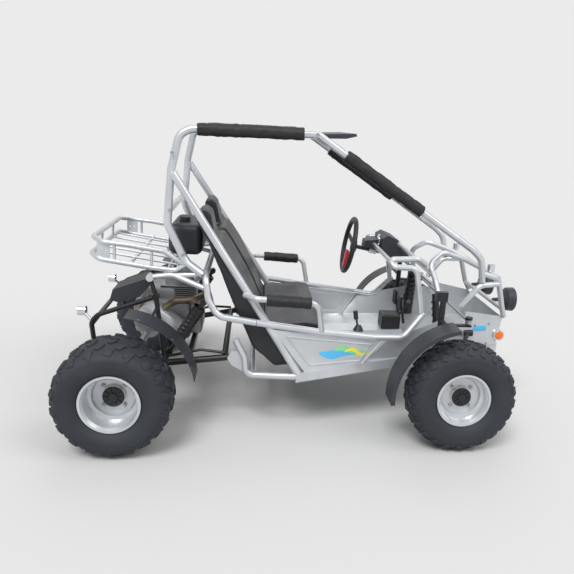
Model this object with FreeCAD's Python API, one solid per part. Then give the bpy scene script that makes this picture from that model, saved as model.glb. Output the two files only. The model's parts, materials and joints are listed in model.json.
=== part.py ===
import FreeCAD
import Part
import math
import os

# Two-seat off-road kart with a tube frame, a roll cage and a rear luggage rack.
# Millimetres. +X is forward, +Y is the driver's left, +Z is up. The origin is on the ground,
# midway between the ends and the sides. A station is a distance forward of the rear axle, and a
# side is a distance from the middle, so (station, side, height) places every point.

V = FreeCAD.Vector

# Overall sizes
WHEELBASE = 1380.0
DRAWN_WHEELBASE = 1380.0      # the frame is drawn for this one, and a longer one stretches the cabin
CABIN_BACK = 320.0            # stations between these two stretch
CABIN_FRONT = 1150.0
ROOF_HEIGHT = 1222.0          # centre of the roof rails
DRAWN_ROOF_HEIGHT = 1222.0
WAIST_HEIGHT = 760.0          # heights above this stretch with the roof
NOSE_REACH = 347.0            # front of the headlamps ahead of the front axle

# Wheels
REAR_TYRE_R = 225.0
REAR_TYRE_W = 240.0
REAR_RIM_W = 203.0
REAR_WHEEL_Y = 600.0
REAR_DISH = 97.0
FRONT_TYRE_R = 233.0
FRONT_TYRE_W = 176.0
FRONT_RIM_W = 140.0
FRONT_WHEEL_Y = 550.0
FRONT_DISH = 57.0
RIM_LIP_R = 113.5
BEAD_R = 101.5
BARREL_WALL = 5.0
RIM_DISC = 6.0
HUB_CAP_R = 43.0
HUB_CAP_OUT = 16.0

# Running gear
AXLE_R = 17.5
SPINDLE_R = 14.0
KINGPIN_Y = 425.0
KINGPIN_R = 7.0
SEAT_GAP = 0.3                # clearance of a piece that rests on its bearer
PIN_GAP = 0.5                 # radial clearance on pins, spindles and shafts
RUN_GAP = 1.5                 # clearance between faces that turn past each other
STEER_ARM = 45.0
STEER_ARM_Z = 500.0
BALL_PIN_R = 4.0
EYE_GAP = 5.4                 # the rod eye stays clear of its pin, because the link is open there

# Tubes
CAGE_TUBE = 32.0
PILLAR_TUBE = 30.0
BRACE_TUBE = 32.0
RAIL_TUBE = 28.0
HOOP_TUBE = 25.0
RACK_TUBE = 21.0
SLAT_TUBE = 10.0
ARM_TUBE = 20.0
PAD_D = 54.0

# Cage and cabin widths, as distances from the middle
ROOF_Y = 300.0
UPRIGHT_Y = 325.0
BRACE_FOOT_Y = 430.0
RAIL_Y = 418.0
BEAM_FRONT_Y = 238.0
BEAM_H = 40.0
BEAM_W = 30.0
SHEET = 3.0
FLOOR_RISE = 16.0             # floor sheet above the beam centre line
SEAT_Y = 200.0
SEAT_W = 350.0
HEADREST_W = 190.0

# Steering wheel and column
WHEEL_RIM_D = 287.0
WHEEL_RIM_TUBE = 24.0
COLUMN_R = 10.0
COLUMN_TILT = 9.0             # degrees down towards the front

REAR_X = -(WHEELBASE + NOSE_REACH - REAR_TYRE_R) / 2.0
FRONT_X = REAR_X + WHEELBASE
COLUMN_Y = SEAT_Y

chassis = {}


# ---------------------------------------------------------------- placing and shaping

def station_x(station):
    stretch = (WHEELBASE - DRAWN_WHEELBASE) / (CABIN_FRONT - CABIN_BACK)
    return REAR_X + station + stretch * min(max(station - CABIN_BACK, 0.0), CABIN_FRONT - CABIN_BACK)


def level(height):
    stretch = (ROOF_HEIGHT - DRAWN_ROOF_HEIGHT) / (DRAWN_ROOF_HEIGHT - WAIST_HEIGHT)
    return height + stretch * max(height - WAIST_HEIGHT, 0.0)


def at(station, side, height):
    return V(station_x(station), side, level(height))


def unit(vector):
    return V(vector) * (1.0 / vector.Length)


def mirrored(shape):
    return shape.mirror(V(0, 0, 0), V(0, 1, 0))


def pair(shape):
    return [shape, mirrored(shape)]


def rod(start, end, radius):
    return Part.makeCylinder(radius, (end - start).Length, start, end - start)


def block(low, high):
    return Part.makeBox(high.x - low.x, high.y - low.y, high.z - low.z, low)


def joined(shapes):
    result = shapes[0].multiFuse(shapes[1:]) if len(shapes) > 1 else shapes[0]
    return result.removeSplitter()


def tube(points, diameter, bend=70.0):
    """A bent tube: straight runs joined by tangent arcs."""
    pieces = []
    start = points[0]
    for before, corner, after in zip(points, points[1:], points[2:]):
        back = unit(before - corner)
        ahead = unit(after - corner)
        half_turn = (math.pi - back.getAngle(ahead)) / 2.0
        room = 0.45 * min((before - corner).Length, (after - corner).Length)
        radius = min(bend, room / math.tan(half_turn))
        reach = radius * math.tan(half_turn)
        arc_start = corner + back * reach
        normal = unit(ahead.cross(back))
        centre = corner + unit(back + ahead) * (radius / math.cos(half_turn))
        face = Part.Face(Part.Wire(Part.makeCircle(diameter / 2.0, arc_start, back)))
        arc = face.revolve(centre, normal, -math.degrees(2.0 * half_turn))
        end_test = arc.BoundBox
        if not end_test.isInside(corner + ahead * reach * 0.98):
            arc = face.revolve(centre, normal, math.degrees(2.0 * half_turn))
        pieces.append(rod(start, arc_start, diameter / 2.0))
        pieces.append(arc)
        start = corner + ahead * reach
    pieces.append(rod(start, points[-1], diameter / 2.0))
    return joined(pieces)


def plate(outline, thickness):
    """A flat plate: its outline lies in one plane, and it grows along that plane's normal."""
    face = Part.Face(Part.makePolygon(outline + [outline[0]]))
    return face.extrude(unit(thickness) * thickness.Length)


def warped_plate(top, bottom, thickness):
    """Sheet ruled between a top edge and a bottom edge, each given by its two ends."""
    upper = Part.makeLine(top[0], top[1])
    lower = Part.makeLine(bottom[0], bottom[1])
    return Part.makeRuledSurface(upper, lower).extrude(thickness)


def prism(outline, half_width, middle=0.0):
    """A side outline of (station, height) points, extruded across the kart."""
    points = [at(station, middle - half_width, height) for station, height in outline]
    face = Part.Face(Part.makePolygon(points + [points[0]]))
    return face.extrude(V(0, 2.0 * half_width, 0))


def turned(profile, middle, outward):
    """A solid of revolution about the cross axis. Profile points are (radius, outward distance)."""
    points = [V(middle.x, middle.y + outward * out, middle.z + radius) for radius, out in profile]
    face = Part.Face(Part.makePolygon(points + [points[0]]))
    return face.revolve(middle, V(0, 1, 0), 360.0)


def give_way(solid, carriers):
    """The solid, coped to the pieces that it is fixed to."""
    near = [c for c in carriers if c.BoundBox.intersect(solid.BoundBox)]
    if not near:
        return solid
    left = solid.cut(near)
    return max(left.Solids, key=lambda piece: piece.Volume)


def fix(name, solids):
    """Puts a node on the chassis. Its solids give way to the nodes that are already there."""
    carriers = [solid for node in chassis.values() for solid in node]
    chassis[name] = [give_way(solid, carriers) for solid in solids]


def write(name, solids):
    shape = solids[0] if len(solids) == 1 else Part.makeCompound(solids)
    shape.exportStep(os.path.join("parts", name + ".step"))


# ---------------------------------------------------------------- frame

def beam_at(station, rise=0.0, out=0.0):
    """A point on the centre line of the right-hand floor beam, raised or moved outwards."""
    share = (station - 727.0) / (1600.0 - 727.0)
    side = BRACE_FOOT_Y + share * (BEAM_FRONT_Y - BRACE_FOOT_Y)
    return at(station, -side - out, 250.0 + 90.0 * share + rise)


def floor_beam():
    back = beam_at(700.0)
    front = beam_at(1640.0)
    corners = []
    for out, rise in ((-0.5, -0.5), (0.5, -0.5), (0.5, 0.5), (-0.5, 0.5)):
        corners.append(back + V(0, -out * BEAM_W, rise * BEAM_H))
    section = Part.Face(Part.makePolygon(corners + [corners[0]]))
    return section.extrude(front - back)


def cross_tube(station, side, height, diameter):
    return rod(at(station, -side, height), at(station, side, height), diameter / 2.0)


def lower_frame():
    lower = tube([at(392, -RAIL_Y + 6, 478), at(442, -RAIL_Y, 403), at(484, -RAIL_Y, 321),
                  at(490, -RAIL_Y, 246), at(727, -BRACE_FOOT_Y, 246)], RAIL_TUBE, 45.0)
    sides = [floor_beam(), lower, pivot_bracket()]
    crossings = [
        cross_tube(520, RAIL_Y, 246, RAIL_TUBE),
        cross_tube(760, BRACE_FOOT_Y - 6, 246, RAIL_TUBE),
        cross_tube(1130, BRACE_FOOT_Y - 90, 290, RAIL_TUBE),
        cross_tube(1600, BEAM_FRONT_Y, 340, RAIL_TUBE),
    ]
    return joined(sides + [mirrored(s) for s in sides] + crossings)


def pivot_bracket():
    """The plate behind the lower tube that holds the swing arm's pivot bolt."""
    y = -RAIL_Y + 45.0
    outline = [at(428, y, 336), at(412, y, 300), at(430, y, 272), at(478, y, 244),
               at(500, y, 252), at(492, y, 330)]
    near = plate(outline, V(0, -6, 0))
    spacer = rod(at(484, y - 3, 290), at(484, -RAIL_Y, 290), 10.0)
    return joined([near, spacer])


def side_rails():
    rail = tube([at(314, 0, 655), at(314, -RAIL_Y + 45, 655), at(330, -RAIL_Y + 14, 560),
                 at(371, -RAIL_Y + 4, 494), at(527, -RAIL_Y, 474), at(791, -RAIL_Y, 444),
                 at(1030, -RAIL_Y + 16, 422), at(1160, -374, 415), at(1247, -345, 520)],
                RAIL_TUBE, 60.0)
    upper = tube([at(90, -UPRIGHT_Y, 624), at(180, -UPRIGHT_Y - 6, 640), at(322, -382, 597)],
                 RACK_TUBE + 2, 90.0)
    inner = rod(at(120, -UPRIGHT_Y, 630), at(312, -352, 652), RACK_TUBE / 2.0)
    boss = rod(at(90, -UPRIGHT_Y - 18, 624), at(90, -UPRIGHT_Y + 18, 624), 15.0)
    half = [rail, upper, inner, boss]
    return joined(half + [mirrored(s) for s in half] + [cross_tube(150, UPRIGHT_Y, 634, RACK_TUBE)])


def roll_cage():
    side = tube([at(306, -371, 655), at(233, -UPRIGHT_Y - 4, 695), at(157, -UPRIGHT_Y, 846),
                 at(170, -UPRIGHT_Y + 4, 1060), at(198, -ROOF_Y - 4, 1196), at(240, -ROOF_Y, 1222),
                 at(745, -ROOF_Y, 1236)], CAGE_TUBE, 70.0)
    crossings = [
        cross_tube(160, UPRIGHT_Y, 900, RAIL_TUBE),
        cross_tube(238, ROOF_Y, 1222, RAIL_TUBE),
        cross_tube(700, ROOF_Y, 1234, RAIL_TUBE),
    ]
    return joined([side, mirrored(side)] + crossings)


def diagonal_brace():
    return rod(at(178, -UPRIGHT_Y - 8, 1050), at(727, -BRACE_FOOT_Y - 2, 234), BRACE_TUBE / 2.0)


def windscreen_pillar():
    return tube([at(739, -ROOF_Y - 0.5, 1238), at(1444, -ROOF_Y - 10, 804),
                 at(1490, -ROOF_Y - 8, 765), at(1512, -ROOF_Y + 10, 660)], PILLAR_TUBE, 70.0)


def front_frame():
    hoop = tube([at(1352, -290, 505), at(1322, -215, 640), at(1296, -180, 706), at(1362, -140, 758),
                 at(1480, -105, 724), at(1590, -75, 676)], HOOP_TUBE, 55.0)
    bumper = tube([at(1505, -ROOF_Y + 3, 700), at(1590, -280, 676), at(1630, -268, 540),
                   at(1652, -250, 495)], HOOP_TUBE, 40.0)
    stay = tube([at(1428, -292, 545), at(1503, -ROOF_Y + 2, 645), at(1596, -280, 652)], HOOP_TUBE, 45.0)
    half = [hoop, bumper, stay]
    crossings = [
        cross_tube(1590, 280, 676, HOOP_TUBE),
        cross_tube(1313, 205, 664, HOOP_TUBE),
        cross_tube(1632, 266, 534, RACK_TUBE),
        cross_tube(1468, 280, 505, HOOP_TUBE),
    ]
    clamps = [block(at(1425, y - 12, 505 - 6), at(1468, y + 12, 505 + 6)) for y in (-120, 60)]
    return joined(half + [mirrored(s) for s in half] + crossings + clamps + [rack_housing()])


def rack_housing():
    tube_part = rod(at(1425, -160, 514), at(1425, 160, 514), 17.0)
    pinion = block(at(1398, 92, 496), at(1446, 142, 556))
    return joined([tube_part, pinion])


def knee_frame():
    side = tube([at(1240, -348, 500), at(1198, -333, 716), at(1098, -330, 716), at(1086, -300, 742),
                 at(1213, -290, 748), at(1262, -265, 716), at(1306, -212, 668)], HOOP_TUBE, 34.0)
    bars = [cross_tube(1098, 322, 726, RACK_TUBE), cross_tube(1206, 290, 746, RACK_TUBE)]
    hanger = block(at(1088, COLUMN_Y - 8, 696), at(1108, COLUMN_Y + 8, 724))
    frame = joined([side, mirrored(side)] + bars + [hanger, column_sleeve(COLUMN_R + 7.0)])
    return frame.cut(column_bore())


# ---------------------------------------------------------------- sheet metal

def nose_plates():
    side = warped_plate((beam_at(1330, 172, 18), beam_at(1425, 204, 18)),
                        (beam_at(1330, 18, 18), beam_at(1425, 18, 18)), V(0, -SHEET, 0))
    front = warped_plate((beam_at(1425, 204, 18), beam_at(1648, 148, 18)),
                         (beam_at(1425, 18, 18), beam_at(1630, 18, 18)), V(0, -SHEET, 0))
    slot = block(at(1396, -340, 490), at(1454, -260, 538))
    half = joined([side, front]).cut(slot)
    top = beam_at(1646, 146, 17)
    foot = beam_at(1628, 22, 17)
    face = warped_plate((top, mirrored_point(top)), (foot, mirrored_point(foot)), V(-SHEET, 0, 0))
    return [half, mirrored(half), face]


def mirrored_point(point):
    return V(point.x, -point.y, point.z)


def side_panels():
    rear = warped_plate((at(592, -RAIL_Y, 448), at(1052, -RAIL_Y + 18, 404)),
                        (beam_at(735, 19), beam_at(985, 19)), V(0, -SHEET, 0))
    strut = rod(at(1068, -RAIL_Y + 20, 414), beam_at(985, 14), 8.0)
    front = warped_plate((at(1078, -RAIL_Y + 22, 404), beam_at(1328, 170, 18)),
                         (beam_at(1000, 19), beam_at(1328, 18, 18)), V(0, -SHEET, 0))
    return rear, strut, front


def floor_pan():
    corners = [beam_at(735, FLOOR_RISE), beam_at(1600, FLOOR_RISE)]
    sheet = plate([corners[0], corners[1], mirrored_point(corners[1]), mirrored_point(corners[0])],
                  V(0, 0, SHEET))
    tunnel_low = [at(830, -60, 276), at(1230, -60, 316), at(1230, -60, 354), at(850, -60, 334)]
    tunnel = Part.Face(Part.makePolygon(tunnel_low + [tunnel_low[0]])).extrude(V(0, 120, 0))
    return joined([sheet, tunnel])


# ---------------------------------------------------------------- cabin

def column_axis():
    tilt = math.radians(COLUMN_TILT)
    return V(math.cos(tilt), 0, -math.sin(tilt))


def column_point(distance):
    return at(979, COLUMN_Y, 708) + column_axis() * distance


def column_bore():
    return rod(column_point(80), column_point(170), COLUMN_R + PIN_GAP)


def column_sleeve(radius):
    return rod(column_point(104), column_point(142), radius).cut(column_bore())


def instrument_cowl():
    outline = [(1128, 690), (1122, 768), (1150, 784), (1200, 766), (1282, 690), (1262, 668), (1180, 660)]
    hood = prism(outline, 100, COLUMN_Y - 20)
    switch_box = prism([(1048, 705), (1052, 742), (1128, 752), (1126, 712)], 42, COLUMN_Y - 5)
    channel = rod(column_point(40), column_point(330), COLUMN_R + 9.0)
    return joined([hood, switch_box]).cut(channel)


def seat_back():
    shell = [(612, 268), (515, 350), (418, 560), (350, 720), (318, 790), (372, 792), (412, 735),
             (470, 640), (520, 545), (560, 452), (640, 372), (690, 275)]
    body = prism(shell, SEAT_W / 2.0, -SEAT_Y)
    head = prism([(322, 770), (268, 855), (272, 900), (300, 912), (326, 890), (345, 810), (360, 780)],
                 HEADREST_W / 2.0, -SEAT_Y)
    return joined([body, head])


def seat_cushion():
    outline = [(560.5, 452), (640.5, 372), (800, 374), (812, 420), (796, 462), (740, 470), (640, 455)]
    return prism(outline, SEAT_W / 2.0, -SEAT_Y)


def armrest():
    return tube([at(476, -398, 585), at(520, -446, 582), at(772, -452, 574), at(797, -424, 452)],
                HOOP_TUBE, 40.0)


def sleeve_on(start, end, diameter, bore):
    return rod(start, end, diameter / 2.0).cut(rod(start, end, bore / 2.0))


def armrest_pad():
    return sleeve_on(at(560, -447, 580.7), at(748, -451.4, 574.8), PAD_D - 2, HOOP_TUBE)


def roof_pad():
    return sleeve_on(at(262, -ROOF_Y, 1222.6), at(690, -ROOF_Y, 1234.5), PAD_D, CAGE_TUBE)


def pillar_pad():
    top = at(739, -ROOF_Y - 0.5, 1238)
    low = at(1444, -ROOF_Y - 10, 804)
    return sleeve_on(top + (low - top) * 0.17, top + (low - top) * 0.66, PAD_D, PILLAR_TUBE)


def roof_visor():
    outline = [(770, 1240), (900, 1251), (905, 1241), (860, 1228), (790, 1224), (762, 1230)]
    bracket = rod(at(775, -268, 1228.8), at(775, -286.7 + SEAT_GAP, 1221.5), 5.0)
    return joined([prism(outline, ROOF_Y - 25.0), bracket, mirrored(bracket)])


# ---------------------------------------------------------------- rack

def luggage_rack():
    y = UPRIGHT_Y - 4.0
    loop = tube([at(226, -y, 682), at(145, -y, 733), at(3, -y, 752), at(-96, -y, 760),
                 at(-142, -y + 48, 770), at(-142, 0, 770)], RACK_TUBE, 45.0)
    low = tube([at(236, -y, 686), at(190, -y, 656), at(91, -y, 664), at(-112, -y, 690),
                at(-148, -y + 44, 704), at(-148, 0, 704)], RACK_TUBE, 45.0)
    posts = [rod(at(x, -y, 676), at(x, -y, 750), 6.0) for x in (-50, 95)]
    tail_posts = [rod(at(-146, -110, 704), at(-142, -110, 770), 6.0)]
    half = [loop, low] + posts + tail_posts + [two_hole_plate()]
    slats = [rod(at(-148, s, 704), at(200, s, 657), SLAT_TUBE / 2.0) for s in (-220, -110, 0, 110, 220)]
    front_bar = cross_tube(196, y, 658, RACK_TUBE - 4)
    middle_bar = cross_tube(10, y, 675, RACK_TUBE - 7)
    return joined(half + [mirrored(s) for s in half] + slats + [front_bar, middle_bar])


def two_hole_plate():
    y = -UPRIGHT_Y + 6.0
    outline = [at(-118, y, 690), at(-68, y, 684), at(-68, y, 757), at(-118, y, 762)]
    blank = plate(outline, V(0, 4, 0))
    holes = [rod(at(x, y - 5, 724), at(x, y + 10, 724), 3.5) for x in (-103, -83)]
    return blank.cut(holes)


# ---------------------------------------------------------------- engine and rear suspension

def engine_block():
    return block(at(-20, -140, 300), at(290, 200, 590))


def exhaust():
    can = rod(at(40, -196, 486), at(205, -196, 352), 46.0)
    pipe = tube([at(288, -142, 505), at(262, -215, 505), at(180, -222, 500), at(105, -205, 440)],
                32.0, 45.0)
    return joined([can, pipe])


def fuel_tank():
    body = block(at(140, -170, 690), at(284, 170, 822))
    body = body.makeFillet(30.0, body.Edges)
    cap = rod(at(200, -60, 818), at(200, -60, 842), 24.0)
    bar_top = 658 + (RACK_TUBE - 4) / 2.0 + SEAT_GAP
    feet = [block(at(188, s * 60 - 12, bar_top), at(204, s * 60 + 12, 700)) for s in (-1, 1)]
    return joined([body, cap] + feet)


def airbox():
    outline = [(-78, 512), (-66, 556), (22, 590), (62, 604), (74, 566), (40, 528), (-40, 500)]
    return prism(outline, 75, -215)


def swing_arm():
    arm_y = 330.0
    arm = rod(at(428, -RAIL_Y + 62, 300), at(0, -300, REAR_TYRE_R), 14.0)
    pivot = rod(at(440, -RAIL_Y + 46, 302), at(440, -RAIL_Y + 70, 302), 20.0)
    ring = rod(at(0, -335, REAR_TYRE_R), at(0, -285, REAR_TYRE_R), 40.0)
    gusset = tube([at(400, -352, 316), at(300, -338, 322), at(30, -304, 246)], 12.0, 60.0)
    cradle = tube([at(113, -arm_y, 544), at(-120, -310, 452), at(-150, -306, 420), at(-140, -304, 330),
                   at(0, -300, 236)], ARM_TUBE, 40.0)
    eye = rod(at(113, -arm_y - 15, 544), at(113, -arm_y + 15, 544), 14.0)
    post = rod(at(113, -arm_y + 2, 544), at(150, -318, 256), 10.0)
    link = rod(at(92, -arm_y + 5, 612), at(113, -arm_y + 5, 544), 9.0)
    half = [arm, pivot, ring, gusset, cradle, eye, post, link]
    crossings = [
        cross_tube(-148, 306, 410, ARM_TUBE),
        cross_tube(150, 316, 262, 26.0),
        cross_tube(400, 352, 297, 26.0),
        block(at(140, -130, 262), at(160, 190, 300 - SEAT_GAP)),
        block(at(240, -320, 268), at(260, 320, 300 - SEAT_GAP)),
    ]
    whole = joined(half + [mirrored(s) for s in half] + crossings)
    return whole.cut(rod(at(0, -400, REAR_TYRE_R), at(0, 400, REAR_TYRE_R), AXLE_R + PIN_GAP))


def shock(top, bottom, spring_r, body_share=0.62):
    axis = bottom - top
    spring = rod(top + axis * 0.12, top + axis * (0.12 + body_share), spring_r)
    damper = rod(top, bottom, 9.0)
    upper_eye = rod(top - V(0, 12, 0), top + V(0, 12, 0), 14.0)
    lower_eye = rod(bottom - V(0, 12, 0), bottom + V(0, 12, 0), 14.0)
    return joined([spring, damper, upper_eye, lower_eye])


def rear_fender():
    centre = at(0, 0, REAR_TYRE_R)
    outer = rod(centre + V(0, -585, 0), centre + V(0, -455, 0), 302.0)
    hollow = rod(centre + V(0, -590, 0), centre + V(0, -450, 0), 302.0 - SHEET)
    stay = rod(at(118, -336.4 - SEAT_GAP, 498), at(118, -560, 498), 6.0)
    return joined([keep_sector(outer.cut(hollow), centre, 10.0, 84.0), stay])


def keep_sector(ring, centre, start, end):
    """The part of a ring between two angles, counted from forwards and upwards, about the cross axis."""
    reach = 700.0
    steps = 4
    wedge = [centre + V(0, -800, 0)]
    for step in range(steps + 1):
        angle = math.radians(start + (end - start) * step / steps)
        wedge.append(centre + V(reach * math.cos(angle), -800, reach * math.sin(angle)))
    face = Part.Face(Part.makePolygon(wedge + [wedge[0]]))
    return ring.common(face.extrude(V(0, 1600, 0)))


def fender_stay():
    return tube([at(250, -345, 300), at(262, -400, 330), at(266, -560, 340)], 14.0, 30.0)


# ---------------------------------------------------------------- front suspension

def front(ahead, side, height):
    return V(FRONT_X + ahead, side, height)


def front_arm(outer_z, inner_z, inner_back, inner_ahead, inner_y):
    boss = rod(front(0, -KINGPIN_Y, outer_z - 14), front(0, -KINGPIN_Y, outer_z + 14), 17.0)
    legs = []
    for ahead, side in ((inner_back, inner_y[0]), (inner_ahead, inner_y[1])):
        end = front(ahead, -side, inner_z)
        start = front(0.12 * ahead, -KINGPIN_Y + 14, outer_z)
        legs.append(rod(start, end, ARM_TUBE / 2.0))
        legs.append(rod(end - V(20, 0, 0), end + V(20, 0, 0), 14.0))
    bore = rod(front(0, -KINGPIN_Y, outer_z - 40), front(0, -KINGPIN_Y, outer_z + 40), KINGPIN_R + PIN_GAP)
    return joined([boss] + legs).cut(bore)


def front_arms():
    lower = front_arm(162, 268, -95, 95, (331, 289))
    upper = front_arm(322, 420, -45, 100, (310, 286))
    return lower, upper


# ---------------------------------------------------------------- lamps and controls

def headlight(side):
    front = DRAWN_WHEELBASE + NOSE_REACH
    shell = [(front - 59, 0.0), (front - 59, 34.0), (front - 37, 54.0), (front - 5, 56.0),
             (front, 52.0), (front, 0.0)]
    points = [at(station, side, 552 + radius) for station, radius in shell]
    face = Part.Face(Part.makePolygon(points + [points[0]]))
    lamp = face.revolve(at(1700, side, 552), V(1, 0, 0), 360.0)
    stalk = rod(at(1628, side, 545), at(1672, side, 550), 9.0)
    return joined([lamp, stalk])


def marker_lamps():
    indicator = rod(at(1556, -262, 704), at(1556, -262, 734), 17.0)
    indicator_stalk = rod(at(1560, -268, 684), at(1556, -262, 706), 6.0)
    side_marker = rod(beam_at(1638, 62, 20), beam_at(1638, 62, 34), 25.0)
    tail = rod(at(-204, -292, 462), at(-172, -292, 462), 21.0)
    tail_stalk = rod(at(-150, -306, 425), at(-184, -294, 458), 7.0)
    return [joined([indicator, indicator_stalk]), side_marker, joined([tail, tail_stalk])]


def pedals():
    box = block(at(1130, -52, 346), at(1222, 52, 420))
    box = box.makeFillet(10.0, box.Edges)
    lever = rod(at(1212, -20, 410), at(1256, -30, 478), 6.0)
    near_pad = rod(at(1248, -52, 478), at(1262, -8, 484), 9.0)
    return joined([box, lever, near_pad])


def foot_pedals():
    pieces = []
    for side in (SEAT_Y + 60.0, SEAT_Y - 60.0):
        arm = rod(at(1290, side, 306), at(1262, side, 430), 7.0)
        pad = block(at(1250, side - 28, 400), at(1262, side + 28, 470))
        foot = block(at(1272, side - 14, 296), at(1306, side + 14, 314))
        pieces.append(joined([arm, pad, foot]))
    return pieces


def shift_lever():
    boot = Part.makeCone(26.0, 12.0, 26.0, at(1018, -50, 340))
    stick = rod(at(1018, -50, 340), at(1002, -50, 412), 5.0)
    knob = rod(at(1004, -50, 396), at(997, -50, 436), 11.0)
    return joined([boot, stick, knob])


# ---------------------------------------------------------------- wheels

def rim_profile(width, dish, bore):
    half = width / 2.0
    disc = half - dish
    inner = BEAD_R - BARREL_WALL
    lip = 8.0
    return [(RIM_LIP_R, half), (RIM_LIP_R, half - lip), (BEAD_R, half - lip), (BEAD_R, lip - half),
            (RIM_LIP_R, lip - half), (RIM_LIP_R, -half), (RIM_LIP_R - 9.0, -half),
            (inner, 12.0 - half), (inner, disc - RIM_DISC), (60.0, disc - RIM_DISC),
            (34.0, disc - 24.0), (bore, disc - 24.0), (bore, disc), (HUB_CAP_R, disc),
            (78.0, disc), (84.0, disc + 10.0), (inner, disc + 14.0), (inner, half - 12.0),
            (RIM_LIP_R - 9.0, half)]


def rim(middle, outward, width, dish, bore):
    ring = turned(rim_profile(width, dish, bore), middle, outward)
    face = middle + V(0, outward * (width / 2.0 - dish), 0)
    cap = rod(face, face + V(0, outward * HUB_CAP_OUT, 0), HUB_CAP_R)
    return joined([ring, cap])


def tyre(middle, outward, radius, width, rim_width):
    """The crown is a superellipse, and each side wall curves in to the bead."""
    half = width / 2.0
    bead = rim_width / 2.0 - 8.0
    widest = (RIM_LIP_R + radius) / 2.0
    crown = radius - widest
    power = 2.0 / 2.7
    steps = 12
    arch = []
    for step in range(steps + 1):
        angle = math.pi * step / steps
        out = half * math.copysign(abs(math.cos(angle)) ** power, math.cos(angle))
        arch.append(V(middle.x, middle.y + out, middle.z + widest + crown * abs(math.sin(angle)) ** power))
    curve = Part.BSplineCurve()
    curve.interpolate(arch)
    edges = [curve.toShape()]
    for side in (-1.0, 1.0):
        top = V(middle.x, middle.y + side * half, middle.z + widest)
        knee = V(middle.x, middle.y + side * (half - 3.0), middle.z + (widest + RIM_LIP_R) / 2.0)
        foot = V(middle.x, middle.y + side * bead, middle.z + RIM_LIP_R)
        seat = V(middle.x, middle.y + side * bead, middle.z + BEAD_R)
        edges.append(Part.Arc(top, knee, foot).toShape())
        edges.append(Part.makeLine(foot, seat))
    base = [V(middle.x, middle.y + side * bead, middle.z + BEAD_R) for side in (-1.0, 1.0)]
    edges.append(Part.makeLine(base[0], base[1]))
    outline = Part.Wire(Part.__sortEdges__(edges))
    return Part.Face(outline).revolve(middle, V(0, 1, 0), 360.0)


def rear_axle():
    disc_y = REAR_WHEEL_Y + REAR_RIM_W / 2.0 - REAR_DISH
    end = disc_y - RUN_GAP
    shaft = rod(at(0, -end, REAR_TYRE_R), at(0, end, REAR_TYRE_R), AXLE_R)
    collars = [rod(at(0, s * 342, REAR_TYRE_R), at(0, s * 362, REAR_TYRE_R), 30.0) for s in (-1, 1)]
    brake_disc = rod(at(0, 236, REAR_TYRE_R), at(0, 241, REAR_TYRE_R), 52.0)
    return joined([shaft, brake_disc] + collars)


# ---------------------------------------------------------------- knuckles and steering

def knuckle():
    """Right-hand steering knuckle with its spindle, fender post and steering arm."""
    hub = rod(front(0, -KINGPIN_Y, 178 + RUN_GAP), front(0, -KINGPIN_Y, 306 - RUN_GAP), 15.0)
    pin = rod(front(0, -KINGPIN_Y, 140), front(0, -KINGPIN_Y, 345), KINGPIN_R)
    disc_y = FRONT_WHEEL_Y + FRONT_RIM_W / 2.0 - FRONT_DISH
    spindle = rod(front(0, -KINGPIN_Y, FRONT_TYRE_R), front(0, -disc_y + RUN_GAP, FRONT_TYRE_R), SPINDLE_R)
    web = block(front(-84, -KINGPIN_Y - 6, 254), front(0, -KINGPIN_Y + 6, 292))
    post = rod(front(-77, -KINGPIN_Y, 256), front(-77, -KINGPIN_Y, 604), 13.0)
    bracket = block(front(-112, -KINGPIN_Y - 14, 600), front(-62, -KINGPIN_Y + 14, 640))
    arm = block(front(-77, -KINGPIN_Y - 12, STEER_ARM_Z - 8), front(STEER_ARM + 12, -KINGPIN_Y + 12, STEER_ARM_Z))
    ball_pin = rod(front(STEER_ARM, -KINGPIN_Y, STEER_ARM_Z - 2), front(STEER_ARM, -KINGPIN_Y, 532), BALL_PIN_R)
    cap = rod(front(STEER_ARM, -KINGPIN_Y, 524), front(STEER_ARM, -KINGPIN_Y, 534), 16.0)
    stay = rod(front(-77, -KINGPIN_Y, 518), front(-77, -FRONT_WHEEL_Y - 40, 518), 8.0)
    return joined([hub, pin, spindle, web, post, bracket, arm, ball_pin, cap, stay])


def front_fender(carrier):
    centre = front(0, 0, FRONT_TYRE_R)
    low = -FRONT_WHEEL_Y - 82.0
    high = -FRONT_WHEEL_Y + 35.0
    outer = rod(centre + V(0, low, 0), centre + V(0, high, 0), 307.0)
    hollow = rod(centre + V(0, low + SHEET, 0), centre + V(0, high + 5, 0), 307.0 - SHEET)
    opening = rod(centre + V(0, low - 5, 0), centre + V(0, high, 0), 307.0 - 16.0)
    ring = outer.cut([hollow, opening])
    return give_way(keep_sector(ring, centre, 100.0, 184.0), [carrier])


def tie_rods():
    eye_bore = BALL_PIN_R + EYE_GAP
    low = STEER_ARM_Z + RUN_GAP
    high = 524 - RUN_GAP
    middle = 514.0
    bar = rod(front(STEER_ARM, -KINGPIN_Y + eye_bore + 3, middle),
              front(STEER_ARM, KINGPIN_Y - eye_bore - 3, middle), 6.0)
    pieces = [bar]
    for side in (-1, 1):
        eye = rod(front(STEER_ARM, side * KINGPIN_Y, low + 3), front(STEER_ARM, side * KINGPIN_Y, high), eye_bore + 5.0)
        hole = rod(front(STEER_ARM, side * KINGPIN_Y, low - 5), front(STEER_ARM, side * KINGPIN_Y, high + 5), eye_bore)
        pieces.append(eye.cut(hole))
    body = joined(pieces)
    return body


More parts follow.
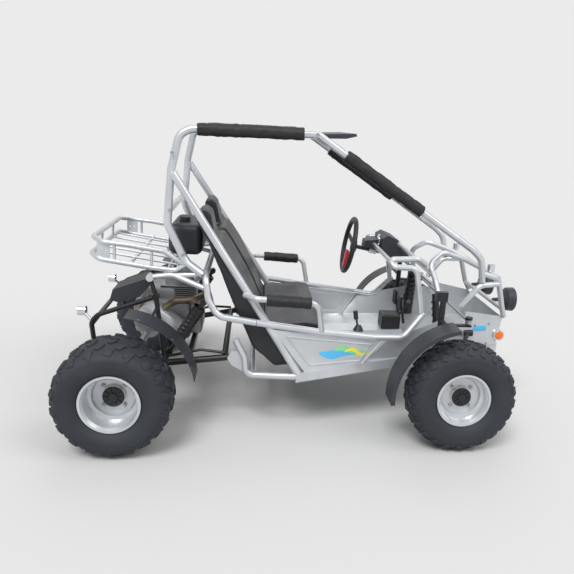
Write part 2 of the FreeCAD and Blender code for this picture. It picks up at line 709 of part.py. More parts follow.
def steering_wheel():
    axis = column_axis()
    centre = column_point(0)
    ring = Part.makeTorus((WHEEL_RIM_D - WHEEL_RIM_TUBE) / 2.0, WHEEL_RIM_TUBE / 2.0, centre, axis)
    hub = rod(centre + axis * 12, centre + axis * 36, 30.0)
    side_way = V(0, 1, 0)
    up_way = axis.cross(side_way)
    spokes = []
    for angle in (20.0, 160.0, 270.0):
        way = side_way * math.cos(math.radians(angle)) + up_way * math.sin(math.radians(angle))
        across = way.cross(axis)
        root = centre + axis * 24 + way * 10
        tip = centre + way * ((WHEEL_RIM_D - WHEEL_RIM_TUBE) / 2.0)
        corners = [root - across * 16, root + across * 16, tip + across * 11, tip - across * 11]
        spokes.append(Part.Face(Part.makePolygon(corners + [corners[0]])).extrude(axis * 5))
    shaft = rod(centre + axis * 20, column_point(236), COLUMN_R)
    yoke = rod(column_point(222), column_point(244), 15.0)
    return joined([ring, hub, shaft, yoke] + spokes)


LOWER_SHAFT_END = (1404.0, 118.0, 548.0)


def lower_shaft_ends():
    start = column_point(262)
    end = at(LOWER_SHAFT_END[0], LOWER_SHAFT_END[1], LOWER_SHAFT_END[2])
    return start, end


def lower_shaft():
    start, end = lower_shaft_ends()
    way = unit(end - start)
    shaft = rod(start, end + way * 4, 8.0)
    yoke = rod(start, start + way * 20, 14.0)
    return joined([shaft, yoke])


# ---------------------------------------------------------------- the whole kart

def build_chassis():
    fix("side_rails", [side_rails()])
    fix("roll_cage", [roll_cage()])
    fix("lower_frame", [lower_frame()])
    fix("diagonal_braces", pair(diagonal_brace()))
    fix("windscreen_pillars", pair(windscreen_pillar()))
    fix("knee_frame", [knee_frame()])
    fix("front_frame", [front_frame()])
    fix("nose_plates", nose_plates())
    fix("floor_pan", [floor_pan()])
    fix("side_panels", [solid for piece in side_panels() for solid in pair(piece)])
    fix("armrests", pair(armrest()))
    fix("armrest_pads", pair(armrest_pad()))
    fix("cage_pads", pair(roof_pad()) + pair(pillar_pad()))
    fix("roof_visor", [roof_visor()])
    fix("luggage_rack", [luggage_rack()])
    fix("swing_arm", [swing_arm()])
    fix("engine_block", [engine_block()])
    fix("exhaust", [exhaust()])
    fix("fuel_tank", [fuel_tank()])
    fix("airbox", [airbox()])
    fix("rear_shocks", pair(shock(at(305, -300, 520), at(166.8, -300, 297.4), 26.0)))
    fix("front_arms", [solid for piece in front_arms() for solid in pair(piece)])
    fix("front_shocks", pair(shock(front(-52, -222, 632), front(-30, -352, 226), 24.0)))
    fix("rear_fenders", pair(joined([rear_fender(), fender_stay()])))
    fix("headlights", pair(headlight(-150)))
    fix("marker_lamps", [solid for piece in marker_lamps() for solid in pair(piece)])
    fix("instrument_cowl", [instrument_cowl()])
    fix("seat_backs", pair(seat_back()))
    fix("seat_cushions", pair(seat_cushion()))
    fix("pedals", foot_pedals() + [pedals()])
    fix("shift_lever", [shift_lever()])
    for name, solids in chassis.items():
        write(name, solids)


def build_moving():
    write("rear_axle", [rear_axle()])
    rims = []
    tyres = []
    for outward in (-1, 1):
        middle = at(0, outward * REAR_WHEEL_Y, REAR_TYRE_R)
        rims.append(rim(middle, outward, REAR_RIM_W, REAR_DISH, AXLE_R).cut(rear_axle()))
        tyres.append(tyre(middle, outward, REAR_TYRE_R, REAR_TYRE_W, REAR_RIM_W))
    write("rear_rims", rims)
    write("rear_tyres", tyres)
    right_knuckle = knuckle()
    fender = front_fender(right_knuckle)
    middle = front(0, -FRONT_WHEEL_Y, FRONT_TYRE_R)
    right_rim = rim(middle, -1, FRONT_RIM_W, FRONT_DISH, SPINDLE_R + PIN_GAP)
    right_tyre = tyre(middle, -1, FRONT_TYRE_R, FRONT_TYRE_W, FRONT_RIM_W)
    for name, shape in (("knuckle", right_knuckle), ("front_fender", fender),
                        ("front_rim", right_rim), ("front_tyre", right_tyre)):
        write(name + "_right", [shape])
        write(name + "_left", [mirrored(shape)])
    write("steering_wheel", [steering_wheel()])
    write("lower_shaft", [lower_shaft()])
    write("tie_rods", [tie_rods()])


os.makedirs("parts", exist_ok=True)
build_chassis()
build_moving()
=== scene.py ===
import bpy
import json
import math
from mathutils import Matrix, Vector

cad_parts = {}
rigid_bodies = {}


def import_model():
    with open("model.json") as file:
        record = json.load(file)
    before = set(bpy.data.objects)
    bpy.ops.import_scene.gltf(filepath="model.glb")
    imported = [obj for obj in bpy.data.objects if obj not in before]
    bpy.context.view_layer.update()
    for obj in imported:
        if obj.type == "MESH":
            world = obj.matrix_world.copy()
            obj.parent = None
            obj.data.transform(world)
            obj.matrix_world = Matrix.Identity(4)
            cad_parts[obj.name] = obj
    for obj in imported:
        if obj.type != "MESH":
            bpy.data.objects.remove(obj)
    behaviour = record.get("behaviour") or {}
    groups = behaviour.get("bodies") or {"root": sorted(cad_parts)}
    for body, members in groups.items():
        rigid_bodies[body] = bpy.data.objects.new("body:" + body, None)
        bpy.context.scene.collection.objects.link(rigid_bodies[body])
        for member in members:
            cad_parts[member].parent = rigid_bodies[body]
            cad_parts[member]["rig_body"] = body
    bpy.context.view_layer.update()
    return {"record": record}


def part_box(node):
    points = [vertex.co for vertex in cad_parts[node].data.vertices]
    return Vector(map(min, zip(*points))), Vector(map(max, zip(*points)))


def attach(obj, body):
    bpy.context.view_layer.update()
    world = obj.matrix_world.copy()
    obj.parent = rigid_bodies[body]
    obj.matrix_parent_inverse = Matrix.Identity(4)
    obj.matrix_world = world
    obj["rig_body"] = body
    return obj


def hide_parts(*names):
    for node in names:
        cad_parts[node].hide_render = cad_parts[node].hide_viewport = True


bl_info = {"name": "Off-road kart finish", "version": (1, 0, 0), "blender": (4, 5, 0),
           "location": "View3D > Sidebar > Kart", "description": "Finishes a two-seat off-road kart",
           "category": "Object"}

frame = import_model()
JOINTS = {joint["name"]: joint for joint in frame["record"]["behaviour"]["joints"]}
REAR_AXLE = Vector(JOINTS["rear_axle_spin"]["pos_m"])
FRONT_AXLE = Vector(JOINTS["front_wheel_right_spin"]["pos_m"])

SIDES = ((-1, "right"), (1, "left"))
RIM_LIP_RADIUS = 0.1135
REAR_RADIUS = 0.225
FRONT_RADIUS = 0.233
TYRE_SECTION_POWER = 2.7
SMOOTH_ANGLE = math.radians(35.0)
PAPER_TONE = "#EBEBEB"

# wheel: name, body, axle, side, middle of the tyre, tyre radius, half width, disc face
WHEELS = (("rear_right", "rear_axle", REAR_AXLE, -1, 0.600, REAR_RADIUS, 0.120, 0.6045),
          ("rear_left", "rear_axle", REAR_AXLE, 1, 0.600, REAR_RADIUS, 0.120, 0.6045),
          ("front_right", "front_wheel_right", FRONT_AXLE, -1, 0.550, FRONT_RADIUS, 0.088, 0.563),
          ("front_left", "front_wheel_left", FRONT_AXLE, 1, 0.550, FRONT_RADIUS, 0.088, 0.563))
TREAD_DEPTH = 0.008
TREAD_INSET = 0.0014
# tread row: share of the half width, blocks, tilt, stagger, block size, turn
REAR_TREAD = ((0.80, 18, 0.62, 0.0, (0.030, 0.034, 0.014), 0.30),
              (0.52, 18, 0.25, 0.5, (0.022, 0.040, 0.014), 0.55),
              (0.17, 18, 0.05, 0.0, (0.020, 0.036, 0.014), 0.75),
              (0.95, 9, 1.10, 0.5, (0.017, 0.017, 0.010), 0.79))
FRONT_TREAD = ((0.82, 24, 0.66, 0.0, (0.026, 0.030, 0.014), 0.35),
               (0.50, 24, 0.25, 0.5, (0.018, 0.036, 0.014), 0.70),
               (0.17, 24, 0.05, 0.0, (0.016, 0.028, 0.014), 0.85))
LUGS = 4
CAP_FINS = 10
CAP_FIN_CIRCLE = 0.027

# soft finish: size of its folds and their depth in metres
SOFT_FOLDS = {"wrap": (0.028, 0.0065), "vinyl": (0.080, 0.0060)}
# cage bolt: x, distance from the middle, z
CAGE_BOLTS = ((-0.576, 0.343, 1.129), (-0.583, 0.343, 0.905),
              (-0.53, 0.343, 0.727), (-0.012, 0.318, 1.238))
# ends of the rear side panel's top and bottom edges: x, distance from the middle, z
PANEL_TOP = (Vector((-0.159, 0.418, 0.448)), Vector((0.301, 0.400, 0.404)))
PANEL_FOOT = (Vector((-0.016, 0.428, 0.270)), Vector((0.234, 0.373, 0.296)))
PANEL_SKIN = 0.003
# swoosh band: film, start and end along the panel, middle and half height across it, bow, lift
SWOOSH = (("blue", 0.36, 0.82, 0.56, 0.150, 0.05, 0.0004),
          ("green", 0.56, 0.93, 0.44, 0.105, -0.07, 0.0007),
          ("yellow", 0.68, 0.99, 0.50, 0.075, -0.10, 0.0010))
SWOOSH_STEPS = 24
# corners of the raised border, as shares along and down the panel
RIM_OF_PANEL = ((0.10, 0.14), (0.93, 0.14), (0.93, 0.86), (0.14, 0.86))
# x, distance from the middle, z
REFLECTOR = (0.887, 0.2636, 0.4059)
BADGE = (0.785, 0.2737, 0.440)
BADGE_TURN = 0.2165
NOSE_RIVETS = ((0.760, 0.2790, 0.455), (0.760, 0.2790, 0.360),
               (0.830, 0.2640, 0.460), (0.830, 0.2640, 0.365))
# degrees above level, ahead of the rear axle
FENDER_RIVETS = (20.0, 46.0, 74.0)
FENDER_RIVET_SIDE = 0.567
FENDER_RADIUS = 0.302
# axis of the exhaust silencer
CAN = (Vector((-0.711, -0.196, 0.486)), Vector((-0.546, -0.196, 0.352)))
CAN_RADIUS = 0.0468
LAMP_SIDE = 0.150
LAMP_HEIGHT = 0.552
# spring: name, top, bottom, coil radius; each point is x, distance from the middle, z
SPRINGS = (("rear", (-0.446, 0.300, 0.520), (-0.583, 0.300, 0.300), 0.023),
           ("front", (0.577, 0.222, 0.600), (0.599, 0.352, 0.226), 0.021))
SPRING_WIRE = 0.0045
SPRING_TURNS = 9
SPRING_STEPS = 16
# sun: direction it comes from, strength, angle of its soft edge in degrees
SUNS = (((-1.2, -2.6, 3.6), 2.3, 24.0), ((2.6, -1.6, 3.0), 0.8, 40.0), ((0.5, 3.0, 3.0), 0.5, 50.0))
SKY_LIGHT = 0.62
CAMERA_TURN = (-0.1467, 0.2637, 0.0785)
CAMERA_PLACE = (REAR_AXLE.x + 0.4934, -2.9508, 1.2625)
CAMERA_LENS = 40.2
CAMERA_SHIFT = (-0.093, 0.0283)


def linear(colour):
    """A hex sRGB colour as linear RGBA."""
    parts = [int(colour[i:i + 2], 16) / 255.0 for i in (1, 3, 5)]
    return [p / 12.92 if p <= 0.04045 else ((p + 0.055) / 1.055) ** 2.4 for p in parts] + [1.0]


def add_node(tree, kind, settings=None, links=None):
    """Adds a node, sets its properties and inputs, and links outputs of other nodes to its inputs."""
    node = tree.nodes.new(kind)
    for key, value in (settings or {}).items():
        if isinstance(key, str) and hasattr(node, key):
            setattr(node, key, value)
        else:
            node.inputs[key].default_value = value
    for key, output in (links or {}).items():
        tree.links.new(output, node.inputs[key])
    return node


def surface(name, colour, second, roughness, metallic=0.0, grain_mm=3.0, bump=0.2, coat=0.0,
            spread=0.5):
    """Two tones mixed by grain of a real size, with the same grain in the gloss and the relief."""
    material = bpy.data.materials.new(name)
    material.use_nodes = True
    tree = material.node_tree
    shader = tree.nodes["Principled BSDF"]
    place = add_node(tree, "ShaderNodeTexCoord").outputs["Object"]
    fine = add_node(tree, "ShaderNodeTexNoise", {"Scale": 1000.0 / grain_mm, "Detail": 4.0},
                    {"Vector": place})
    broad = add_node(tree, "ShaderNodeTexNoise", {"Scale": 9.0, "Detail": 3.0}, {"Vector": place})
    share = add_node(tree, "ShaderNodeMapRange",
                     {"From Min": 0.5 - spread / 2, "From Max": 0.5 + spread / 2},
                     {"Value": broad.outputs["Fac"]})
    tone = add_node(tree, "ShaderNodeMix", {"data_type": "RGBA"}, {0: share.outputs[0]})
    tone.inputs[6].default_value = linear(colour)
    tone.inputs[7].default_value = linear(second)
    gloss = add_node(tree, "ShaderNodeMapRange", {"To Min": roughness * 0.85, "To Max": roughness * 1.15},
                     {"Value": fine.outputs["Fac"]})
    relief = add_node(tree, "ShaderNodeBump", {"Strength": bump, "Distance": 0.0006},
                      {"Height": fine.outputs["Fac"]})
    shader.inputs["Metallic"].default_value = metallic
    shader.inputs["Coat Weight"].default_value = coat
    tree.links.new(tone.outputs[2], shader.inputs["Base Color"])
    tree.links.new(gloss.outputs[0], shader.inputs["Roughness"])
    tree.links.new(relief.outputs[0], shader.inputs["Normal"])
    return material


def make_materials():
    """Each finish, by the name of what it is and how it was made."""
    return {
        # sprayed silver enamel on steel: a bright metallic coat with a soft orange-peel ripple
        "frame": surface("sprayed_silver_enamel", "#D2D5D8", "#BABEC3", 0.3, 0.55, 6.0, 0.1, 0.5),
        # rolled sheet with satin silver paint: flatter and a little warmer than the tubes
        "sheet": surface("satin_silver_sheet", "#D0D3D6", "#B9BDC1", 0.34, 0.5, 4.0, 0.08),
        # semi-gloss black enamel on brackets: dark with dusty patches
        "black_steel": surface("semi_gloss_black_enamel", "#131417", "#202022", 0.4, 0.0, 3.0, 0.15),
        # black vinyl upholstery: fine leather print with a low sheen
        "vinyl": surface("printed_black_vinyl", "#15171B", "#1E2126", 0.42, 0.0, 1.6, 0.55),
        # black nylon wrapped on foam: dull and softly wrinkled
        "wrap": surface("wrinkled_nylon_wrap", "#131416", "#1C1D20", 0.6, 0.0, 9.0, 0.9),
        # injection moulded polypropylene: blue-grey black with a fine spark texture
        "plastic": surface("spark_textured_polypropylene", "#25282E", "#2E3138", 0.46, 0.0, 1.5, 0.2),
        # carbon black tyre rubber: matt blue-grey with dusty patches
        "rubber": surface("vulcanised_tyre_rubber", "#20232A", "#2B2F37", 0.7, 0.0, 2.5, 0.35),
        # sand cast aluminium: pale and grainy
        "alloy": surface("sand_cast_aluminium", "#A9AAAA", "#85868A", 0.5, 0.8, 2.0, 0.4),
        # heat tinted exhaust steel: straw and brown stains
        "pipe": surface("heat_tinted_steel", "#B3A48E", "#77685A", 0.42, 0.8, 2.0, 0.2, 0.0, 0.25),
        # bright chrome plate: mirror smooth
        "chrome": surface("bright_chrome_plate", "#E4E5E8", "#D4D6DA", 0.12, 1.0, 5.0, 0.02),
        # ground steel: fine turned marks
        "steel": surface("ground_steel_bar", "#B5B6B8", "#A2A3A5", 0.32, 0.9, 1.5, 0.1),
        # moulded amber acrylic over a reflector: clear deep orange
        "amber": surface("moulded_amber_acrylic", "#F07A12", "#D9620A", 0.2, 0.0, 3.0, 0.3, 0.6),
        # red moulded grip insert
        "red": surface("moulded_red_grip", "#D4141C", "#B90F18", 0.4, 0.0, 1.5, 0.2),
        # printed film in blue, green and yellow: smooth and glossy
        "blue": surface("printed_blue_film", "#3FA9E0", "#58B8E6", 0.3, 0.0, 3.0, 0.02),
        "green": surface("printed_green_film", "#63CFA0", "#8ED98A", 0.3, 0.0, 3.0, 0.02),
        "yellow": surface("printed_yellow_film", "#E6DC34", "#EDE564", 0.3, 0.0, 3.0, 0.02),
        # clear lamp lens over a bright bowl
        "lens": surface("clear_lamp_lens", "#C9D2D8", "#AEB8C0", 0.1, 0.3, 5.0, 0.3, 1.0),
    }


NODE_FINISH = {
    "frame": ("roll_cage side_rails lower_frame diagonal_braces windscreen_pillars knee_frame front_frame "
              "luggage_rack armrests rear_rims front_rim_right front_rim_left"),
    "sheet": "nose_plates side_panels floor_pan",
    "black_steel": "swing_arm front_arms knuckle_right knuckle_left pedals rear_shocks front_shocks",
    "plastic": ("instrument_cowl roof_visor fuel_tank airbox rear_fenders headlights shift_lever "
                "front_fender_right front_fender_left steering_wheel"),
    "rubber": "rear_tyres front_tyre_right front_tyre_left",
    "alloy": "engine_block", "pipe": "exhaust", "chrome": "marker_lamps",
    "steel": "rear_axle lower_shaft tie_rods",
    "vinyl": "seat_backs seat_cushions", "wrap": "cage_pads armrest_pads",
}
FINISH = {}


def deselect():
    """Leaves nothing selected."""
    bpy.ops.object.select_all(action="DESELECT")


def select_only(piece):
    """Leaves the piece alone selected, and active."""
    deselect()
    piece.select_set(True)
    bpy.context.view_layer.objects.active = piece


def settle(piece, finish, body):
    """Applies a piece's place, smooths its shading, gives it its finish and puts it on its body."""
    select_only(piece)
    bpy.ops.object.transform_apply(location=True, rotation=True, scale=True)
    bpy.ops.object.shade_smooth_by_angle(angle=SMOOTH_ANGLE)
    piece.data.materials.clear()
    piece.data.materials.append(FINISH[finish])
    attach(piece, body)
    return piece


def merged(name, pieces):
    """Joins the pieces into one, under the name given."""
    deselect()
    for piece in pieces:
        piece.select_set(True)
    bpy.context.view_layer.objects.active = pieces[0]
    if len(pieces) > 1:
        bpy.ops.object.join()
    pieces[0].name = name
    return pieces[0]


def disc(centre, axis, radius, depth, sides=24, bevel=0.0):
    """A round or many-sided piece on the axis, with its edges eased by the bevel."""
    deselect()
    turn = Vector((0, 0, 1)).rotation_difference(Vector(axis)).to_euler()
    bpy.ops.mesh.primitive_cylinder_add(vertices=sides, radius=radius, depth=depth, location=centre,
                                        rotation=turn)
    piece = bpy.context.object
    if bevel:
        modifier = piece.modifiers.new("edge", "BEVEL")
        modifier.width = bevel
        modifier.segments = 2
        bpy.ops.object.modifier_apply(modifier="edge")
    return piece


def rivet(centre, axis):
    """A small domed head."""
    return disc(centre, axis, 0.005, 0.006, 16, 0.002)


def slab(centre, size, turn=(0, 0, 0), bevel=0.001):
    """A block of the size given, turned about its centre, with its edges eased by the bevel."""
    deselect()
    bpy.ops.mesh.primitive_cube_add(size=1.0, location=centre, rotation=turn)
    piece = bpy.context.object
    piece.scale = size
    bpy.ops.object.transform_apply(location=False, rotation=False, scale=True)
    modifier = piece.modifiers.new("edge", "BEVEL")
    modifier.width = bevel
    modifier.segments = 2
    bpy.ops.object.modifier_apply(modifier="edge")
    return piece


class KartSizes(bpy.types.PropertyGroup):
    lug_circle: bpy.props.FloatProperty(name="Stud circle", description="Radius of the wheel studs' circle",
                                        default=0.055, unit="LENGTH")
    tread_depth: bpy.props.FloatProperty(name="Tread depth",
                                         description="Height of the blocks on the carcass",
                                         default=TREAD_DEPTH, unit="LENGTH")
    pad_voxel: bpy.props.FloatProperty(name="Pad detail", description="Voxel size of the padded pieces",
                                       default=0.006, unit="LENGTH")


class KART_OT_finishes(bpy.types.Operator):
    """Gives every framed part its paint, rubber, plastic or metal"""
    bl_idname = "kart.finishes"
    bl_label = "Finish the framed parts"

    def execute(self, context):
        FINISH.update(make_materials())
        for finish, names in NODE_FINISH.items():
            for name in names.split():
                node = bpy.data.objects[name]
                node.data.materials.clear()
                node.data.materials.append(FINISH[finish])
        return {"FINISHED"}


class KART_OT_padding(bpy.types.Operator):
    """Rounds the seats and the wrapped pads into soft forms"""
    bl_idname = "kart.padding"
    bl_label = "Make the padding"

    def execute(self, context):
        voxel = context.scene.kart.pad_voxel
        for node, finish, slot in (("seat_backs", "vinyl", "vinyl"), ("seat_cushions", "vinyl", "vinyl"),
                                   ("cage_pads", "wrap", "foam"), ("armrest_pads", "wrap", "foam")):
            piece = bpy.data.objects[node].copy()
            piece.data = piece.data.copy()
            context.collection.objects.link(piece)
            piece.name = node + "_soft"
            select_only(piece)
            bpy.ops.object.mode_set(mode="EDIT")
            bpy.ops.mesh.select_all(action="SELECT")
            bpy.ops.mesh.remove_doubles(threshold=0.0002)
            bpy.ops.object.mode_set(mode="OBJECT")
            remesh = piece.modifiers.new("skin", "REMESH")
            remesh.mode = "VOXEL"
            remesh.voxel_size = voxel
            bpy.ops.object.modifier_apply(modifier="skin")
            round_off = piece.modifiers.new("round", "SMOOTH")
            round_off.factor = 0.5
            round_off.iterations = 14 if finish == "vinyl" else 6
            bpy.ops.object.modifier_apply(modifier="round")
            folds = bpy.data.textures.new("folds_" + node, "CLOUDS")
            folds.noise_scale, depth = SOFT_FOLDS[finish]
            ruffle = piece.modifiers.new("folds", "DISPLACE")
            ruffle.texture = folds
            ruffle.strength = depth
            ruffle.mid_level = 0.7
            bpy.ops.object.modifier_apply(modifier="folds")
            settle(piece, finish, "chassis")
            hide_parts(node)
        return {"FINISHED"}


def carcass(node, axle, radius, depth):
    """The tyre without its tread: its crown lies deeper than the framed tyre, which it stands for."""
    source = bpy.data.objects[node]
    piece = source.copy()
    piece.data = source.data.copy()
    bpy.context.collection.objects.link(piece)
    piece.name = node + "_carcass"
    widest = (radius + RIM_LIP_RADIUS) / 2.0
    for vertex in piece.data.vertices:
        out = Vector((vertex.co.x - axle.x, 0, vertex.co.z - axle.z))
        share = min(max((out.length - widest) / (radius - widest), 0.0), 1.0)
        vertex.co -= out.normalized() * depth * share ** 0.5
    settle(piece, "rubber", source["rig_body"])
    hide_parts(node)


class KART_OT_wheels(bpy.types.Operator):
    """Rebuilds the tyres with tread blocks, and adds hub caps and wheel nuts"""
    bl_idname = "kart.wheels"
    bl_label = "Dress the wheels"

    def execute(self, context):
        sizes = context.scene.kart
        carcass("rear_tyres", REAR_AXLE, REAR_RADIUS, sizes.tread_depth)
        carcass("front_tyre_right", FRONT_AXLE, FRONT_RADIUS, sizes.tread_depth)
        carcass("front_tyre_left", FRONT_AXLE, FRONT_RADIUS, sizes.tread_depth)
        for name, body, axle, side, middle, radius, half, face in WHEELS:
            blocks = []
            widest = (radius + RIM_LIP_RADIUS) / 2.0
            rows = REAR_TREAD if body == "rear_axle" else FRONT_TREAD
            rows = rows + tuple((-row[0],) + row[1:5] + (-row[5],) for row in rows)
            for row, count, lean, stagger, size, twist in rows:
                drop = 1.0 - abs(row) ** TYRE_SECTION_POWER
                rise = (radius - widest) * drop ** (1 / TYRE_SECTION_POWER)
                height = widest + rise - size[2] / 2.0 - TREAD_INSET
                tilt = math.copysign(lean, row)
                for step in range(count):
                    turn = 2 * math.pi * (step + stagger) / count
                    block = slab((0, 0, 0), size, bevel=0.0025)
                    block.matrix_world = (Matrix.Translation((axle.x, side * middle, axle.z))
                                          @ Matrix.Rotation(turn, 4, "Y")
                                          @ Matrix.Translation((0, (half - 2 * TREAD_INSET) * row, height))
                                          @ Matrix.Rotation(-tilt, 4, "X")
                                          @ Matrix.Rotation(twist, 4, "Z"))
                    blocks.append(block)
            settle(merged(name + "_tread", blocks), "rubber", body)
            centre = Vector((axle.x, side * face, axle.z))
            way = Vector((0, side, 0))
            fins = [disc(centre + way * 0.017, way, 0.041, 0.006, 32, 0.002),
                    disc(centre + way * 0.022, way, 0.016, 0.008, 24, 0.002)]
            for step in range(CAP_FINS):
                turn = 2 * math.pi * step / CAP_FINS
                offset = Vector((math.cos(turn), 0, math.sin(turn))) * CAP_FIN_CIRCLE
                fins.append(slab(centre + way * 0.0215 + offset, (0.022, 0.005, 0.005), (0, -turn, 0)))
            settle(merged(name + "_hub_cap", fins), "black_steel", body)
            nuts = []
            for step in range(LUGS):
                turn = 2 * math.pi * (step + 0.5) / LUGS
                offset = Vector((math.cos(turn), 0, math.sin(turn))) * sizes.lug_circle
                nuts.append(disc(centre + way * 0.004 + offset, way, 0.0085, 0.010, 6, 0.001))
                nuts.append(disc(centre + way * 0.010 + offset, way, 0.0045, 0.010, 12, 0.0008))
            settle(merged(name + "_nuts", nuts), "steel", body)
        return {"FINISHED"}


class KART_OT_trim(bpy.types.Operator):
    """Adds bolts, rivets, films, lenses, the silencer, the dial, springs and the wheel's insert"""
    bl_idname = "kart.trim"
    bl_label = "Add the trim"

    def execute(self, context):
        for side, name in SIDES:
            bolts = [disc((x, side * y, z), (0, 1, 0), 0.007, 0.008, 6, 0.001)
                     for x, y, z in CAGE_BOLTS]
            settle(merged("cage_bolts_" + name, bolts), "steel", "chassis")
            for finish, start, end, middle, half, bow, lift in SWOOSH:
                band("swoosh_%s_%s" % (finish, name), side, start, end, middle, half, bow, lift, finish)
            border = [panel_point(side, u, v, 0.0) for u, v in RIM_OF_PANEL + RIM_OF_PANEL[:1]]
            wire("panel_border_" + name, border, 0.0045, "sheet")
            place = (BADGE[0], side * BADGE[1], BADGE[2])
            badge = slab(place, (0.070, 0.0012, 0.024), (0, 0, -side * BADGE_TURN), 0.0005)
            badge.name = "nose_film_" + name
            settle(badge, "blue", "chassis")
            place = (REFLECTOR[0], side * REFLECTOR[1], REFLECTOR[2])
            lens = disc(place, (0, 1, 0), 0.020, 0.006, 32, 0.002)
            lens.name = "reflector_" + name
            settle(lens, "amber", "chassis")
            heads = [rivet((x, side * y, z), (0, 1, 0)) for x, y, z in NOSE_RIVETS]
            settle(merged("nose_rivets_" + name, heads), "steel", "chassis")
            heads = []
            for angle in FENDER_RIVETS:
                way = Vector((math.cos(math.radians(angle)), 0, math.sin(math.radians(angle))))
                spot = REAR_AXLE + way * (FENDER_RADIUS - 0.002) + Vector((0, side * FENDER_RIVET_SIDE, 0))
                heads.append(rivet(spot, way))
            settle(merged("fender_rivets_" + name, heads), "steel", "chassis")
            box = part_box("headlights")
            place = (box[1].x - 0.0045, side * LAMP_SIDE, LAMP_HEIGHT)
            lens = disc(place, (1, 0, 0), 0.048, 0.006, 32, 0.002)
            lens.name = "lamp_lens_" + name
            settle(lens, "lens", "chassis")
            for kind, top, bottom, radius in SPRINGS:
                start = Vector((top[0], side * top[1], top[2]))
                end = Vector((bottom[0], side * bottom[1], bottom[2]))
                coil_spring(kind + "_spring_" + name, start, end, radius)
        axis = CAN[1] - CAN[0]
        can = disc((CAN[0] + CAN[1]) / 2, axis, CAN_RADIUS, axis.length * 0.92, 40, 0.004)
        can.name = "silencer_shell"
        settle(can, "frame", "chassis")
        dial = disc((0.372, 0.18, 0.742), (-0.99, 0, 0.1), 0.032, 0.008, 32, 0.002)
        dial.name = "dial_bezel"
        settle(dial, "chrome", "chassis")
        settle(lower_grip(), "red", "steering_wheel")
        return {"FINISHED"}


def panel_point(side, u, v, lift):
    """A point on the rear side panel's outer face: u along it, v down it, lift off it."""
    top = PANEL_TOP[0].lerp(PANEL_TOP[1], u)
    spot = top.lerp(PANEL_FOOT[0].lerp(PANEL_FOOT[1], u), v)
    return Vector((spot.x, side * (spot.y + PANEL_SKIN + lift), spot.z))


def band(name, side, start, end, middle, half, bow, lift, finish):
    """One pointed, bowed band of film laid on the side panel."""
    points = []
    for i in range(SWOOSH_STEPS + 1):
        t = i / SWOOSH_STEPS
        width = half * math.sin(math.pi * (0.06 + 0.88 * t)) ** 0.7
        centre = middle + bow * math.sin(2 * math.pi * t)
        u = start + (end - start) * t
        points.append(panel_point(side, u, centre - width, lift))
        points.append(panel_point(side, u, centre + width, lift))
    faces = [(2 * i, 2 * i + 1, 2 * i + 3, 2 * i + 2)[::side] for i in range(SWOOSH_STEPS)]
    mesh = bpy.data.meshes.new(name)
    mesh.from_pydata(points, [], faces)
    piece = bpy.data.objects.new(name, mesh)
    bpy.context.collection.objects.link(piece)
    select_only(piece)
    thick = piece.modifiers.new("film", "SOLIDIFY")
    thick.thickness = 0.0003
    thick.offset = 1.0
    bpy.ops.object.modifier_apply(modifier="film")
    settle(piece, finish, "chassis")


def wire(name, points, radius, finish):
    """A round bead through the points."""
    curve = bpy.data.curves.new(name, "CURVE")
    curve.dimensions = "3D"
    curve.bevel_depth = radius
    curve.bevel_resolution = 2
    line = curve.splines.new("POLY")
    line.points.add(len(points) - 1)
    for spot, point in zip(line.points, points):
        spot.co = (point.x, point.y, point.z, 1.0)
    piece = bpy.data.objects.new(name, curve)
    bpy.context.collection.objects.link(piece)
    select_only(piece)
    bpy.ops.object.convert(target="MESH")
    return settle(bpy.context.object, finish, "chassis")


def coil_spring(name, start, end, radius):
    """A coil of round wire wound on the line from start to end."""
    axis = end - start
    turn = Vector((0, 0, 1)).rotation_difference(axis)
    count = SPRING_TURNS * SPRING_STEPS
    points = []
    for i in range(count + 1):
        angle = 2 * math.pi * i / SPRING_STEPS
        along = axis.length * (0.1 + 0.66 * i / count)
        spot = Vector((radius * math.cos(angle), radius * math.sin(angle), along))
        points.append(start + turn @ spot)
    wire(name, points, SPRING_WIRE, "black_steel")


def lower_grip():
    """The red insert on the steering wheel's lower spoke."""
    joint = JOINTS["steering_wheel_turn"]
    centre = Vector(joint["pos_m"])
    axis = Vector(joint["axis"]).normalized()
    down = Vector((-axis.z, 0, axis.x)).normalized()
    tilt = math.asin(axis.z)
    piece = slab(centre + down * 0.072, (0.016, 0.05, 0.092), (0, tilt, 0), 0.006)
    piece.name = "wheel_insert"
    return piece


class KART_OT_engine(bpy.types.Operator):
    """Builds the finned engine, its gear case and its fan cover"""
    bl_idname = "kart.engine"
    bl_label = "Build the engine"

    def execute(self, context):
        low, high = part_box("engine_block")
        span = high - low

        def spot(x, y, z):
            return Vector((low.x + span.x * x, low.y + span.y * y, low.z + span.z * z))

        def size(x, y, z):
            return (span.x * x, span.y * y, span.z * z)

        parts = [slab(spot(0.50, 0.45, 0.27), size(0.96, 0.60, 0.50), bevel=0.018),
                 slab(spot(0.34, 0.45, 0.60), size(0.50, 0.52, 0.30), bevel=0.014),
                 slab(spot(0.42, 0.15, 0.36), size(0.80, 0.26, 0.46), bevel=0.024),
                 slab(spot(0.62, 0.45, 0.86), size(0.40, 0.30, 0.22), bevel=0.016),
                 disc(spot(0.30, 0.90, 0.34), (0, 1, 0), span.z * 0.26, span.y * 0.18, 48, 0.008),
                 disc(spot(0.74, 0.86, 0.30), (0, 1, 0), span.z * 0.19, span.y * 0.14, 40, 0.006)]
        for step in range(9):
            place = spot(0.62, 0.45, 0.52 + 0.032 * step)
            parts.append(slab(place, size(0.50, 0.50, 0.012), bevel=0.0012))
        engine = settle(merged("engine", parts), "alloy", "chassis")
        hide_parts("engine_block")
        return {"FINISHED"}


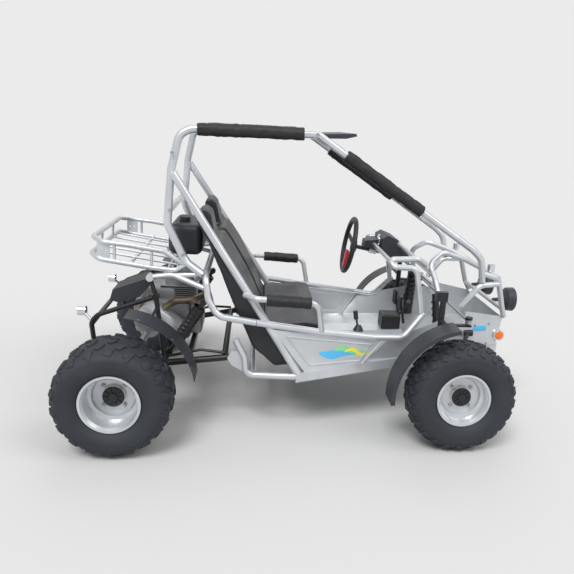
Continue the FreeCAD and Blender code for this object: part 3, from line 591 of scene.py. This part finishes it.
class KART_OT_stage(bpy.types.Operator):
    """Builds the pale floor, the sky light, the suns and the camera"""
    bl_idname = "kart.stage"
    bl_label = "Set the stage"

    def execute(self, context):
        scene = context.scene
        scene.view_settings.view_transform = "Standard"
        deselect()
        bpy.ops.mesh.primitive_plane_add(size=60.0, location=(0, 0, -0.0005))
        floor = context.object
        floor.name = "floor"
        floor.data.materials.append(floor_paper())
        world = bpy.data.worlds.new("studio")
        world.use_nodes = True
        scene.world = world
        tree = world.node_tree
        backdrop = tree.nodes["Background"]
        backdrop.inputs["Color"].default_value = linear(PAPER_TONE)
        rays = add_node(tree, "ShaderNodeLightPath")
        sky = add_node(tree, "ShaderNodeBackground",
                       {"Color": [1.0, 1.0, 1.0, 1.0], "Strength": SKY_LIGHT})
        choice = add_node(tree, "ShaderNodeMixShader", None,
                          {0: rays.outputs["Is Camera Ray"], 1: sky.outputs[0], 2: backdrop.outputs[0]})
        tree.links.new(choice.outputs[0], tree.nodes["World Output"].inputs["Surface"])
        for place, power, spread in SUNS:
            lamp = bpy.data.lights.new("sun", "SUN")
            lamp.energy = power
            lamp.angle = math.radians(spread)
            holder = bpy.data.objects.new("sun", lamp)
            holder.location = place
            holder.rotation_euler = (-Vector(place)).to_track_quat("-Z", "Y").to_euler()
            context.collection.objects.link(holder)
        scene.camera = make_camera(context)
        return {"FINISHED"}


def floor_paper():
    """Matt background paper whose tone under the sky and the suns is that of the backdrop."""
    light = SKY_LIGHT
    for place, power, _ in SUNS:
        light += power * Vector(place).normalized().z / math.pi
    tone = linear(PAPER_TONE)[0] / light
    material = bpy.data.materials.new("seamless_background_paper")
    material.use_nodes = True
    tree = material.node_tree
    matt = add_node(tree, "ShaderNodeBsdfDiffuse", {"Color": [tone, tone, tone, 1.0]})
    tree.links.new(matt.outputs[0], tree.nodes["Material Output"].inputs["Surface"])
    return material


def make_camera(context):
    """The camera low on the kart's right, turned by yaw, then pitch, then roll."""
    yaw, pitch, roll = CAMERA_TURN
    right = Vector((math.cos(yaw), math.sin(yaw), 0))
    level = Vector((-math.sin(yaw), math.cos(yaw), 0))
    up = Vector((0, 0, 1))
    ahead = level * math.cos(pitch) - up * math.sin(pitch)
    above = level * math.sin(pitch) + up * math.cos(pitch)
    across = right * math.cos(roll) + above * math.sin(roll)
    top = above * math.cos(roll) - right * math.sin(roll)
    lens = bpy.data.cameras.new("camera")
    lens.lens = CAMERA_LENS
    lens.shift_x, lens.shift_y = CAMERA_SHIFT
    camera = bpy.data.objects.new("camera", lens)
    turn = Matrix((across, top, -ahead)).transposed().to_4x4()
    camera.matrix_world = Matrix.Translation(CAMERA_PLACE) @ turn
    context.collection.objects.link(camera)
    return camera


class KART_PT_panel(bpy.types.Panel):
    """Lists the steps that finish the kart"""
    bl_idname = "KART_PT_panel"
    bl_label = "Kart"
    bl_space_type = "VIEW_3D"
    bl_region_type = "UI"
    bl_category = "Kart"

    def draw(self, context):
        for step in STEPS:
            self.layout.operator(step.bl_idname)
        for name in KartSizes.__annotations__:
            self.layout.prop(context.scene.kart, name)


STEPS = (KART_OT_finishes, KART_OT_padding, KART_OT_wheels, KART_OT_trim, KART_OT_engine, KART_OT_stage)
CLASSES = (KartSizes,) + STEPS + (KART_PT_panel,)


def register():
    for item in CLASSES:
        bpy.utils.register_class(item)
    bpy.types.Scene.kart = bpy.props.PointerProperty(type=KartSizes)


def unregister():
    del bpy.types.Scene.kart
    for item in reversed(CLASSES):
        bpy.utils.unregister_class(item)


def main():
    register()
    for step in STEPS:
        family, name = step.bl_idname.split(".")
        getattr(getattr(bpy.ops, family), name)()


if __name__ == "__main__":
    main()
